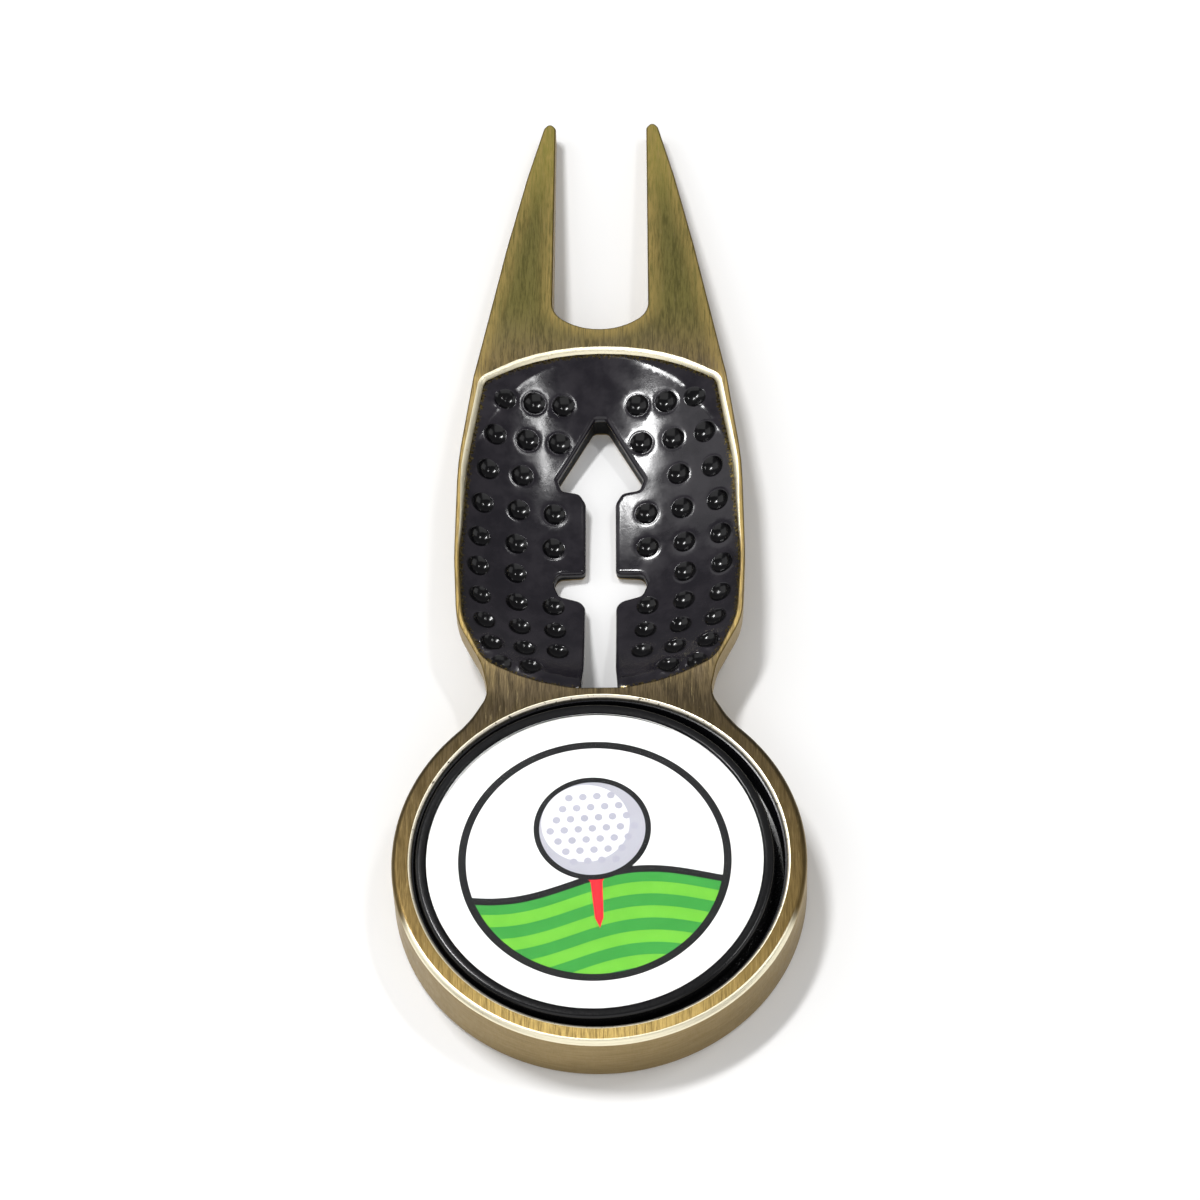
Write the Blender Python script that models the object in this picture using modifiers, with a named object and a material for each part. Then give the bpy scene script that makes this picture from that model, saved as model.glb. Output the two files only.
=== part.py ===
"""Divot repair tool with a magnetic ball marker.

A flat cast body carries a ring with a pocket at one end and two prongs at the other, with a dished,
enamelled thumb rest between them that an arrow-shaped slot goes through.  A magnet in the pocket's
floor holds a coin-like marker, which lifts straight out.

Frame: metres, +Z up.  The tool lies on its flat back, its long side along Y with the prongs at +Y.
The origin is the centre of the tool's footprint, on the plane of the back.  Outlines are written
as (x, v), where v is the distance from the ring's centre towards the prongs.
"""
import math

import bmesh
import bpy
from mathutils import Vector

MM = 0.001

# Driving dimensions
TOOL_LENGTH = 80.0 * MM
TOOL_THICKNESS = 4.85 * MM        # at the ring and the neck
RING_RADIUS = 14.45 * MM
RING_V_START = 10.67 * MM         # where the neck's fillet runs into the ring's circle
RING_Y = RING_RADIUS - TOOL_LENGTH / 2

SLOPE_START_V = 20.0 * MM         # the face starts to fall towards the prongs
SHOULDER_V = 41.0 * MM
SHOULDER_THICKNESS = 4.40 * MM
TIP_V = TOOL_LENGTH - RING_RADIUS
TIP_THICKNESS = 1.90 * MM

EDGE_ROUND = 0.40 * MM            # back edge of the ring and the prongs
TIP_ROUND = 0.20 * MM             # and at the very tips
TIP_ROUND_V = (63.0 * MM, 65.0 * MM)
GRIP_ROUND = 3.40 * MM            # back edge under the thumb rest
GRIP_ROUND_V = (10.5 * MM, 15.0 * MM, 32.0 * MM, 39.5 * MM)
BACK_STEPS = 5

# Thumb rest: a bowl, deepest at BOWL_V, that flattens out just below the face
BOWL_V = 25.0 * MM
BOWL_Z = 1.00 * MM
BOWL_RADIUS_PRONGS = 47.0 * MM
BOWL_RADIUS_RING = 15.5 * MM
BOWL_CROSS_RADIUS = 17.8 * MM
BOWL_SINK = 0.20 * MM             # least depth of the enamel below the face
ENAMEL_THICKNESS = 0.45 * MM
ENAMEL_FIT = 0.04 * MM
BOWL_CELL = 1.55 * MM

# Dimples of the thumb rest: rows along v, columns whose spread follows the outline
DIMPLE_RADIUS = 0.80 * MM
DIMPLE_DEPTH = 0.30 * MM
DIMPLE_ROWS = (39.05, 36.15, 33.3, 30.5, 27.7, 25.2, 22.65, 20.3, 18.05, 16.0)
DIMPLE_COLUMNS = (3.45, 6.13, 8.78)
DIMPLE_WIDEST_V = 25.5
DIMPLE_SPREAD_PRONGS = 0.00114    # loss of width per square millimetre from the widest row
DIMPLE_SPREAD_RING = 0.00220
ROWS_WITHOUT_INNER = (2, 5, 9)    # rows that leave the arrow room

# Pocket, magnet and marker
POCKET_RADIUS = 13.05 * MM
POCKET_FLOOR_Z = 2.30 * MM
LINING_OUTER_RADIUS = 13.03 * MM
LINING_INNER_RADIUS = 12.90 * MM
LINING_THICKNESS = 0.13 * MM
LINING_TOP_Z = 4.50 * MM
MAGNET_RADIUS = 5.00 * MM
MAGNET_SEAT_RADIUS = 5.05 * MM
MAGNET_SEAT_Z = 0.65 * MM
MAGNET_TOP_Z = 2.65 * MM          # stands proud of the lining, so the marker rocks on it
FIT_GAP = 0.02 * MM
MARKER_SHIFT = -0.30 * MM         # the marker lies to one side within its clearance
COIN_RADIUS = 12.50 * MM
COIN_RIM_INNER = 11.78 * MM
COIN_RIM_Z = 4.88 * MM
COIN_RECESS_Z = 4.28 * MM
COIN_CHAMFER = 0.15 * MM
LABEL_RADIUS = 11.70 * MM
LABEL_THICKNESS = 0.12 * MM
DOME_RADIUS = 11.72 * MM
DOME_EDGE_Z = 4.72 * MM
DOME_CROWN_Z = 5.05 * MM
ROUND_STEPS = 64

# Half outlines: (x, v, corner radius) in millimetres, from the centre line round to the centre line
BODY_HALF = (
    (0.0, 45.3, 0.0), (1.55, 45.3, 4.4), (3.55, 46.85, 2.0),       # throat between the prongs
    (3.43, 65.25, 0.5), (3.88, 65.83, 0.3), (4.33, 65.3, 0.6),     # prong tip
    (5.55, 60.3, 12.0), (7.0, 53.3, 30.0), (9.28, 40.9, 0.7),      # prong flank and shoulder
    (10.32, 33.2, 28.0), (10.46, 25.0, 26.0), (10.22, 19.6, 5.5),  # grip
    (8.35, 15.9, 4.5), (7.85, 13.4, 2.1), (9.0, 11.55, 4.0), (9.75, 10.67, 0.0))  # neck
DISH_HALF = (
    (0.0, 43.25, 0.0), (4.0, 43.25, 14.8), (8.68, 40.66, 0.9),
    (9.87, 33.0, 30.0), (10.14, 25.0, 22.0), (9.8, 19.9, 5.5),
    (8.25, 16.35, 2.8), (5.0, 14.45, 14.0), (1.7, 13.85, 4.0), (0.0, 13.85, 0.0))
SLOT_HALF = (
    (0.0, 38.2, 0.0), (0.42, 38.2, 0.3), (3.12, 33.35, 0.3), (2.85, 32.55, 0.35),   # arrow head
    (1.55, 32.4, 0.6), (1.08, 31.6, 0.8), (1.08, 25.75, 0.4), (2.8, 25.6, 0.7),     # stem, cross bar
    (3.42, 24.5, 0.3), (2.8, 23.7, 0.5), (1.1, 23.25, 0.9), (1.12, 16.5, 9.0),
    (1.30, 13.65, 0.0), (0.0, 13.65, 0.0))

COLOURS = {
    "tool_body": ((0.33, 0.25, 0.12), 0.38, 1.0),
    "thumb_enamel": ((0.012, 0.011, 0.013), 0.22, 0.0),
    "pocket_enamel": ((0.010, 0.010, 0.012), 0.30, 0.0),
    "pocket_magnet": ((0.70, 0.69, 0.66), 0.25, 1.0),
    "marker_coin": ((0.008, 0.008, 0.009), 0.18, 0.0),
    "marker_label": ((0.85, 0.85, 0.84), 0.50, 0.0),
    "marker_dome": ((0.95, 0.95, 0.95), 0.05, 0.0),
}


# ---------------------------------------------------------------- scene and materials

def clear_scene():
    for obj in list(bpy.data.objects):
        bpy.data.objects.remove(obj, do_unlink=True)


def new_collection(name):
    collection = bpy.data.collections.new(name)
    bpy.context.scene.collection.children.link(collection)
    return collection


def make_material(name):
    colour, roughness, metallic = COLOURS[name]
    material = bpy.data.materials.new(name)
    material.use_nodes = True
    shader = material.node_tree.nodes["Principled BSDF"]
    shader.inputs["Base Color"].default_value = (*colour, 1.0)
    shader.inputs["Roughness"].default_value = roughness
    shader.inputs["Metallic"].default_value = metallic
    return material


def add_object(name, mesh, collection, location=(0.0, 0.0, 0.0)):
    obj = bpy.data.objects.new(name, mesh)
    obj.location = location
    collection.objects.link(obj)
    if collection is PARTS:
        mesh.materials.append(make_material(name))
        mesh.shade_smooth()
        mesh.set_sharp_from_angle(angle=math.radians(30.0))
    else:
        obj.hide_render = True
        obj.display_type = 'WIRE'
    return obj


def mesh_from_bmesh(name, bm):
    mesh = bpy.data.meshes.new(name)
    bm.to_mesh(mesh)
    bm.free()
    return mesh


# ---------------------------------------------------------------- outlines

def rounded_path(corners):
    """Points along straight lines through the corners, each corner rounded by its own radius."""
    points = [Vector(corners[0][:2]) * MM]
    for before, here, after in zip(corners, corners[1:], corners[2:]):
        corner = Vector(here[:2]) * MM
        radius = here[2] * MM
        if radius == 0.0:
            points.append(corner)
            continue
        back = (Vector(before[:2]) * MM - corner).normalized()
        ahead = (Vector(after[:2]) * MM - corner).normalized()
        half_angle = back.angle(ahead) / 2
        centre = corner + (back + ahead).normalized() * radius / math.sin(half_angle)
        start = corner + back * radius / math.tan(half_angle) - centre
        end = corner + ahead * radius / math.tan(half_angle) - centre
        sweep = math.atan2(start.x * end.y - start.y * end.x, start.dot(end))
        steps = max(1, round(abs(sweep) / math.radians(20.0)))
        for step in range(steps + 1):
            angle = sweep * step / steps
            turned = Vector((start.x * math.cos(angle) - start.y * math.sin(angle),
                             start.x * math.sin(angle) + start.y * math.cos(angle)))
            points.append(centre + turned)
    points.append(Vector(corners[-1][:2]) * MM)
    return points


def mirrored(half):
    """Closes a half outline, which starts and ends on the centre line, with its mirror image."""
    return half + [Vector((-p.x, p.y)) for p in reversed(half[1:-1])]


def body_outline():
    half = rounded_path(BODY_HALF)[:-1]
    start = math.asin(RING_V_START / RING_RADIUS)
    steps = 26
    for step in range(steps + 1):
        angle = start - (start + math.pi / 2) * step / steps
        half.append(Vector((RING_RADIUS * math.cos(angle), RING_RADIUS * math.sin(angle))))
    half[-1].x = 0.0
    return mirrored(half)


def inward_normals(outline):
    """Unit normals that point into the outline, which runs clockwise."""
    normals = []
    for index, point in enumerate(outline):
        along_before = (point - outline[index - 1]).normalized()
        along_after = (outline[(index + 1) % len(outline)] - point).normalized()
        along = along_before + along_after
        mitre = 1.0 / max(0.5, along.length / 2)
        normals.append(Vector((along.y, -along.x)).normalized() * mitre)
    return normals


def inset(outline, distance):
    return [p + n * distance for p, n in zip(outline, inward_normals(outline))]


# ---------------------------------------------------------------- surfaces

def smooth_step(value, low, high):
    t = min(1.0, max(0.0, (value - low) / (high - low)))
    return t * t * (3.0 - 2.0 * t)


def back_round(v):
    """Radius of the rounding between the flank and the back."""
    low, full, end, out = GRIP_ROUND_V
    grip = smooth_step(v, low, full) * (1.0 - smooth_step(v, end, out))
    tip = smooth_step(v, *TIP_ROUND_V)
    return EDGE_ROUND + (GRIP_ROUND - EDGE_ROUND) * grip + (TIP_ROUND - EDGE_ROUND) * tip


def face_z(v):
    """Height of the tool's face, which falls from the neck to the shoulders and on to the tips."""
    if v <= SLOPE_START_V:
        return TOOL_THICKNESS
    if v <= SHOULDER_V:
        share = (v - SLOPE_START_V) / (SHOULDER_V - SLOPE_START_V)
        return TOOL_THICKNESS + (SHOULDER_THICKNESS - TOOL_THICKNESS) * share
    share = (v - SHOULDER_V) / (TIP_V - SHOULDER_V)
    return SHOULDER_THICKNESS + (TIP_THICKNESS - SHOULDER_THICKNESS) * share


def enamel_z(x, v):
    """Height of the thumb rest's surface, without its dimples."""
    radius = BOWL_RADIUS_PRONGS if v > BOWL_V else BOWL_RADIUS_RING
    bowl = BOWL_Z + (v - BOWL_V) ** 2 / (2 * radius) + x * x / (2 * BOWL_CROSS_RADIUS)
    return min(bowl, face_z(v) - BOWL_SINK)


def enamel_normal(x, v):
    step = 0.1 * MM
    slope_x = (enamel_z(x + step, v) - enamel_z(x - step, v)) / (2 * step)
    slope_v = (enamel_z(x, v + step) - enamel_z(x, v - step)) / (2 * step)
    return Vector((-slope_x, -slope_v, 1.0)).normalized()


# ---------------------------------------------------------------- solids

def prism(name, outline, low, high, collection):
    """A flat outline as a filled 2D curve, thickened and made into a closed mesh."""
    curve = bpy.data.curves.new(name, 'CURVE')
    curve.dimensions = '2D'
    curve.fill_mode = 'BOTH'
    curve.extrude = (high - low) / 2
    spline = curve.splines.new('POLY')
    spline.points.add(len(outline) - 1)
    for target, point in zip(spline.points, outline):
        target.co = (point.x, point.y + RING_Y, 0.0, 1.0)
    spline.use_cyclic_u = True
    source = bpy.data.objects.new(name + "_curve", curve)
    source.location.z = (high + low) / 2
    bpy.context.scene.collection.objects.link(source)
    depsgraph = bpy.context.evaluated_depsgraph_get()
    mesh = bpy.data.meshes.new_from_object(source.evaluated_get(depsgraph))
    mesh.transform(source.matrix_world)
    bpy.data.objects.remove(source, do_unlink=True)
    bm = bmesh.new()
    bm.from_mesh(mesh)
    bpy.data.meshes.remove(mesh)
    bmesh.ops.remove_doubles(bm, verts=bm.verts, dist=0.001 * MM)
    bmesh.ops.recalc_face_normals(bm, faces=bm.faces)
    return add_object(name, mesh_from_bmesh(name, bm), collection)


def dish_slab(name, low_z, high_z, collection):
    """A slab over the thumb rest between two heights that depend on (x, v)."""
    half_width = 11.0 * MM
    v_low, v_high = 13.0 * MM, 44.5 * MM
    bm = bmesh.new()
    cells_x = round(2 * half_width / BOWL_CELL)
    cells_v = round((v_high - v_low) / BOWL_CELL)
    bmesh.ops.create_grid(bm, x_segments=cells_x, y_segments=cells_v, size=0.5)
    for vert in bm.verts:
        vert.co.x *= 2 * half_width
        vert.co.y = v_low + (vert.co.y + 0.5) * (v_high - v_low)
    floor = list(bm.faces)
    bmesh.ops.triangulate(bm, faces=floor, quad_method='ALTERNATE')
    floor_verts = list(bm.verts)
    extruded = bmesh.ops.extrude_face_region(bm, geom=list(bm.faces))["geom"]
    roof_verts = [item for item in extruded if isinstance(item, bmesh.types.BMVert)]
    for vert in roof_verts:
        vert.co.z = high_z(vert.co.x, vert.co.y)
    for vert in floor_verts:
        vert.co.z = low_z(vert.co.x, vert.co.y)
    for vert in bm.verts:
        vert.co.y += RING_Y
    bmesh.ops.recalc_face_normals(bm, faces=bm.faces)
    return add_object(name, mesh_from_bmesh(name, bm), collection)


def cylinder(name, radius, low, high, collection, shift_x=0.0):
    bm = bmesh.new()
    bmesh.ops.create_cone(bm, cap_ends=True, segments=ROUND_STEPS, radius1=radius, radius2=radius,
                          depth=high - low)
    mesh = mesh_from_bmesh(name, bm)
    return add_object(name, mesh, collection, (shift_x, RING_Y, (low + high) / 2))


def turned(name, profile, collection, closed=False, shift_x=0.0):
    """A profile of (radius, z) points, turned about the ring's centre by a Screw modifier."""
    edges = [(i, i + 1) for i in range(len(profile) - 1)]
    if closed:
        edges.append((len(profile) - 1, 0))
    mesh = bpy.data.meshes.new(name)
    mesh.from_pydata([(radius, 0.0, z) for radius, z in profile], edges, [])
    obj = add_object(name, mesh, collection, (shift_x, RING_Y, 0.0))
    screw = obj.modifiers.new("Turn", 'SCREW')
    screw.axis = 'Z'
    screw.angle = 2 * math.pi
    screw.steps = ROUND_STEPS
    screw.render_steps = ROUND_STEPS
    screw.use_merge_vertices = True
    screw.merge_threshold = 0.001 * MM
    screw.use_smooth_shade = False
    return obj


def boolean(obj, tool, operation='DIFFERENCE'):
    modifier = obj.modifiers.new(tool.name, 'BOOLEAN')
    modifier.operation = operation
    modifier.solver = 'MANIFOLD'
    modifier.object = tool


# ---------------------------------------------------------------- sub-parts

def body_blank():
    """The outline lofted from the back up to the face, its back edge rounded by back_round."""
    outline = body_outline()
    normals = inward_normals(outline)
    bm = bmesh.new()
    rings = []
    for step in range(BACK_STEPS + 1):
        angle = math.pi / 2 * step / BACK_STEPS
        ring = []
        for point, normal in zip(outline, normals):
            radius = back_round(point.y)
            place = point + normal * radius * (1.0 - math.sin(angle))
            ring.append(bm.verts.new((place.x, place.y + RING_Y, radius * (1.0 - math.cos(angle)))))
        rings.append(ring)
    rings.append([bm.verts.new((p.x, p.y + RING_Y, TOOL_THICKNESS)) for p in outline])
    for lower, upper in zip(rings, rings[1:]):
        for index in range(len(outline)):
            after = (index + 1) % len(outline)
            bm.faces.new((lower[index], lower[after], upper[after], upper[index]))
    bm.faces.new(rings[0])
    bm.faces.new(rings[-1])
    bmesh.ops.triangulate(bm, faces=[f for f in bm.faces if len(f.verts) == 4])
    bmesh.ops.recalc_face_normals(bm, faces=bm.faces)
    return add_object("tool_body", mesh_from_bmesh("tool_body", bm), PARTS)


def face_cutter():
    """Takes off what stands above the sloping face: a profile along v, as wide as the tool."""
    clear = 3.0 * MM
    ends = [(SLOPE_START_V, TOOL_THICKNESS), (SHOULDER_V, SHOULDER_THICKNESS),
            (TIP_V + clear, face_z(TIP_V + clear))]
    profile = ends + [(TIP_V + clear, TOOL_THICKNESS + clear), (SLOPE_START_V, TOOL_THICKNESS + clear)]
    half_width = RING_RADIUS + clear
    bm = bmesh.new()
    side = bm.faces.new([bm.verts.new((-half_width, v + RING_Y, z)) for v, z in profile])
    extruded = bmesh.ops.extrude_face_region(bm, geom=[side])["geom"]
    moved = [item for item in extruded if isinstance(item, bmesh.types.BMVert)]
    bmesh.ops.translate(bm, verts=moved, vec=(2 * half_width, 0.0, 0.0))
    bmesh.ops.recalc_face_normals(bm, faces=bm.faces)
    return add_object("face_cutter", mesh_from_bmesh("face_cutter", bm), CUTTERS)


def dimple_places():
    """The (x, v) of every dimple."""
    places = []
    for row, v in enumerate(DIMPLE_ROWS):
        offset = v - DIMPLE_WIDEST_V
        spread = DIMPLE_SPREAD_PRONGS if offset > 0.0 else DIMPLE_SPREAD_RING
        for column, x in enumerate(DIMPLE_COLUMNS):
            if column == 0 and row in ROWS_WITHOUT_INNER:
                continue
            width = x * (1.0 - spread * offset * offset)
            places.extend(((width * MM, v * MM), (-width * MM, v * MM)))
    return places


def dimple_cutter():
    """One sphere for each dimple, sunk into the enamel along the surface's normal."""
    sphere_radius = (DIMPLE_RADIUS ** 2 + DIMPLE_DEPTH ** 2) / (2 * DIMPLE_DEPTH)
    bm = bmesh.new()
    for x, v in dimple_places():
        normal = enamel_normal(x, v)
        centre = Vector((x, v + RING_Y, enamel_z(x, v))) + normal * (sphere_radius - DIMPLE_DEPTH)
        matrix = normal.to_track_quat('Z', 'Y').to_matrix().to_4x4()
        matrix.translation = centre
        bmesh.ops.create_uvsphere(bm, u_segments=10, v_segments=8, radius=sphere_radius, matrix=matrix)
    return add_object("dimple_cutter", mesh_from_bmesh("dimple_cutter", bm), CUTTERS)


def build_body(slot):
    body = body_blank()
    dish_outline = mirrored(rounded_path(DISH_HALF))
    clear = 1.0 * MM
    recess = dish_slab("dish_cutter", lambda x, v: enamel_z(x, v) - ENAMEL_THICKNESS,
                       lambda x, v: TOOL_THICKNESS + clear, CUTTERS)
    limit = prism("dish_limit", dish_outline, 0.0, TOOL_THICKNESS + 2 * clear, CUTTERS)
    boolean(recess, limit, 'INTERSECT')
    boolean(body, face_cutter())
    boolean(body, recess)
    boolean(body, cylinder("pocket_cutter", POCKET_RADIUS, POCKET_FLOOR_Z, TOOL_THICKNESS + clear, CUTTERS))
    boolean(body, cylinder("magnet_seat_cutter", MAGNET_SEAT_RADIUS, MAGNET_SEAT_Z,
                           POCKET_FLOOR_Z + clear, CUTTERS))
    boolean(body, slot)


def build_thumb_enamel(slot):
    enamel = dish_slab("thumb_enamel", lambda x, v: enamel_z(x, v) - ENAMEL_THICKNESS + FIT_GAP,
                       enamel_z, PARTS)
    outline = inset(mirrored(rounded_path(DISH_HALF)), ENAMEL_FIT)
    limit = prism("enamel_limit", outline, 0.0, TOOL_THICKNESS, CUTTERS)
    boolean(enamel, limit, 'INTERSECT')
    boolean(enamel, dimple_cutter())
    boolean(enamel, slot)


def build_pocket_enamel():
    floor_low = POCKET_FLOOR_Z + FIT_GAP
    floor_high = POCKET_FLOOR_Z + LINING_THICKNESS
    hole = MAGNET_SEAT_RADIUS
    turned("pocket_enamel",
           [(LINING_OUTER_RADIUS, LINING_TOP_Z), (LINING_OUTER_RADIUS, floor_low), (hole, floor_low),
            (hole, floor_high), (LINING_INNER_RADIUS, floor_high), (LINING_INNER_RADIUS, LINING_TOP_Z)],
           PARTS, closed=True)


def build_marker():
    bottom = MAGNET_TOP_Z + FIT_GAP
    chamfer = COIN_CHAMFER
    turned("marker_coin",
           [(0.0, COIN_RECESS_Z), (COIN_RIM_INNER, COIN_RECESS_Z),
            (COIN_RIM_INNER, COIN_RIM_Z - chamfer), (COIN_RIM_INNER + chamfer, COIN_RIM_Z),
            (COIN_RADIUS - chamfer, COIN_RIM_Z), (COIN_RADIUS, COIN_RIM_Z - chamfer),
            (COIN_RADIUS, bottom + chamfer), (COIN_RADIUS - chamfer, bottom), (0.0, bottom)],
           PARTS, shift_x=MARKER_SHIFT)
    label_low = COIN_RECESS_Z + FIT_GAP
    label_high = label_low + LABEL_THICKNESS
    cylinder("marker_label", LABEL_RADIUS, label_low, label_high, PARTS, MARKER_SHIFT)
    steps = 6
    crown = []
    for step in range(steps + 1):
        share = step / steps
        height = DOME_CROWN_Z - (DOME_CROWN_Z - DOME_EDGE_Z) * share ** 3
        crown.append((DOME_RADIUS * share, height))
    turned("marker_dome", crown + [(DOME_RADIUS, label_high + FIT_GAP), (0.0, label_high + FIT_GAP)],
           PARTS, shift_x=MARKER_SHIFT)


clear_scene()
PARTS = new_collection("divot_repair_tool")
CUTTERS = new_collection("cutters")
arrow_slot = prism("slot_cutter", mirrored(rounded_path(SLOT_HALF)), -1.0 * MM,
                   TOOL_THICKNESS + 2.0 * MM, CUTTERS)
build_body(arrow_slot)
build_thumb_enamel(arrow_slot)
build_pocket_enamel()
cylinder("pocket_magnet", MAGNET_RADIUS, MAGNET_SEAT_Z + FIT_GAP, MAGNET_TOP_Z, PARTS)
build_marker()
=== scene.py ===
import math

import bmesh
import bpy
import numpy as np
from mathutils import Matrix, Vector
from mathutils.geometry import delaunay_2d_cdt


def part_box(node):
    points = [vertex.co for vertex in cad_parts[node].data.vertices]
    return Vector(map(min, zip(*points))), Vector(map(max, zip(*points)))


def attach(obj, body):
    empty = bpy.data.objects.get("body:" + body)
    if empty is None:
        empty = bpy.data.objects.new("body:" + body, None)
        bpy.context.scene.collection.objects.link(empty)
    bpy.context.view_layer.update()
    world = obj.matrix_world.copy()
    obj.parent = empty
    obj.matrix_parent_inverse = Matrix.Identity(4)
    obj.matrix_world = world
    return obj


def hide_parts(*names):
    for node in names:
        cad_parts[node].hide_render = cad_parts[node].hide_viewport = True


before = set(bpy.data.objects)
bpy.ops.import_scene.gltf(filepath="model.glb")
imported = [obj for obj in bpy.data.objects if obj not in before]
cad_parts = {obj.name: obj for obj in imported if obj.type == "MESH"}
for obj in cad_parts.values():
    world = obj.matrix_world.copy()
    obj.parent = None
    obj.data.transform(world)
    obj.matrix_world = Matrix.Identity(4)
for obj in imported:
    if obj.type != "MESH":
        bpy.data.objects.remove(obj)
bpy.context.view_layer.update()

MM = 0.001

# The ring's centre in the row frame; outlines are (x, v) in millimetres, v from there to the prongs
COIN_LOW, COIN_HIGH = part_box("marker_coin")
BODY_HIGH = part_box("tool_body")[1]
RING_Y = (COIN_LOW.y + COIN_HIGH.y) / 2 / MM
RING_RADIUS = BODY_HIGH.x / MM
FACE_Z = BODY_HIGH.z / MM
TIP_V = BODY_HIGH.y / MM - RING_Y

# Face heights along the tool
SLOPE_START_V = 20.0
SHOULDER_V = 41.0
SHOULDER_Z = 4.40
TIP_Z = 1.90
RING_V_START = 10.67

# Roundings in millimetres, and the stretches of v over which one passes into the next: back edge,
# top outer edge, rim of the thumb rest, pocket, slot's back edge
EDGE_ROUND = 0.40
TIP_ROUND = 0.20
TIP_ROUND_V = (63.0, 65.0)
GRIP_ROUND = 3.40
GRIP_ROUND_V = (10.5, 15.0, 32.0, 39.5)
TOP_ROUND_RING = 0.40
TOP_ROUND_GRIP = 0.07
TOP_ROUND_PRONGS = 0.13
TOP_ROUND_GRIP_V = (10.0, 15.0)
TOP_ROUND_PRONGS_V = (40.0, 43.0)
RIM_ROUND_ARC = 0.62
RIM_ROUND_SIDE = 0.45
RIM_ROUND_LOW = 0.16
RIM_ROUND_END = 0.10
RIM_END_V = (14.5, 20.0)
RIM_SIDE_V = (27.5, 34.0)
RIM_ARC_V = (40.5, 42.2)
POCKET_ROUND = 0.24
SLOT_BACK_ROUND = 0.26
SLOT_BACK_STRIP = 0.05
SLOT_DRAFT = 0.085
# A narrow flat strip beside each rounding keeps the face beyond it flat in the shading
HOLD = 0.03

# Where the edges' bare metal is polished and carries a painted highlight: the ring's free end, the rim
# of the thumb rest toward the prongs, the pocket's edge
RING_POLISH_HIGHLIGHT_V = (-9.5, -3.0)
RIM_POLISH_HIGHLIGHT_V = (24.0, 32.0)
POCKET_POLISH_HIGHLIGHT = 2.0

# Spacing of outline points in millimetres, and the turn between two points on a corner in degrees
BODY_SPACING = 0.5
DISH_SPACING = 0.4
SLOT_SPACING = 0.35
CORNER_TURN = 7.0
SLOT_CORNER_TURN = 12.0
RING_STEPS = 80
POCKET_STEPS = 200
TURNED_STEPS = 192
SHARP_ANGLE = 40.0

# Thumb rest's bowl
BOWL_V = 25.0
BOWL_Z = 1.00
BOWL_RADIUS_PRONGS = 55.0
BOWL_RADIUS_RING = 15.5
BOWL_CROSS_RADIUS = 17.8
BOWL_SINK = 0.30
BOWL_BLEND = 0.02
ENAMEL_THICKNESS = 0.45
ENAMEL_EDGE_ROUND = 0.30
ENAMEL_EDGE_DROP = 0.85
ENAMEL_TUCK = 0.35
ENAMEL_LIFT = 0.02
CORNER_ROOM = 0.55

DIMPLE_RADIUS = 0.84
DIMPLE_DEPTH = 0.36
LIP_HEIGHT = 0.035
LIP_SHARES = (1.28, 0.96)
DIMPLE_REACH = 1.3
DIMPLE_ROOM = 1.4
# Shares of a dimple's radius over which its painted shade fades out
PIT_SHADE_SHARES = (0.86, 1.04)
DIMPLE_ROWS = (39.05, 36.15, 33.3, 30.5, 27.7, 25.2, 22.65, 20.3, 18.05, 16.0)
DIMPLE_COLUMNS = (3.45, 6.13, 8.78)
DIMPLE_WIDEST_V = 25.5
DIMPLE_SPREAD_PRONGS = 0.00114
DIMPLE_SPREAD_RING = 0.00220
ROWS_WITHOUT_INNER = (2, 5, 9)

POCKET_RADIUS = 13.05
POCKET_FLOOR_Z = 2.30
SEAT_RADIUS = 5.05
SEAT_Z = 0.65
LINING_OUTER = 13.03
LINING_INNER = 12.90
LINING_LOW_Z = 2.32
LINING_FLOOR_Z = 2.43
LINING_TOP_Z = 4.50
MAGNET_ROUND = 0.2

BODY_HALF = (
    (0.0, 45.3, 0.0), (1.55, 45.3, 4.4), (3.55, 46.85, 2.0),
    (3.43, 65.25, 0.5), (3.88, 65.83, 0.3), (4.33, 65.3, 0.6),
    (5.55, 60.3, 12.0), (7.0, 53.3, 30.0), (9.28, 40.9, 0.7),
    (10.32, 33.2, 28.0), (10.46, 25.0, 26.0), (10.22, 19.6, 5.5),
    (8.35, 15.9, 4.5), (7.85, 13.4, 2.1), (9.0, 11.55, 4.0), (9.75, 10.67, 0.0))
DISH_HALF = (
    (0.0, 42.97, 0.0), (4.0, 42.97, 14.7), (8.47, 40.55, 0.8),
    (9.67, 33.0, 30.0), (10.12, 25.0, 22.0), (9.8, 19.9, 5.5),
    (8.25, 16.35, 2.8), (5.0, 14.45, 14.0), (1.7, 13.85, 4.0), (1.30, 13.85, 0.0))
SLOT_HALF = (
    (0.0, 38.2, 0.0), (0.42, 38.2, 0.3), (3.12, 33.35, 0.3), (2.85, 32.55, 0.35),
    (1.55, 32.4, 0.6), (1.08, 31.6, 0.8), (1.08, 25.75, 0.4), (3.05, 25.6, 0.55),
    (3.38, 24.7, 0.5), (3.0, 23.75, 0.5), (1.1, 23.3, 0.9), (1.12, 16.5, 9.0), (1.30, 13.85, 0.0))


# ------------------------------------------------------------------ outlines

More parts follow.
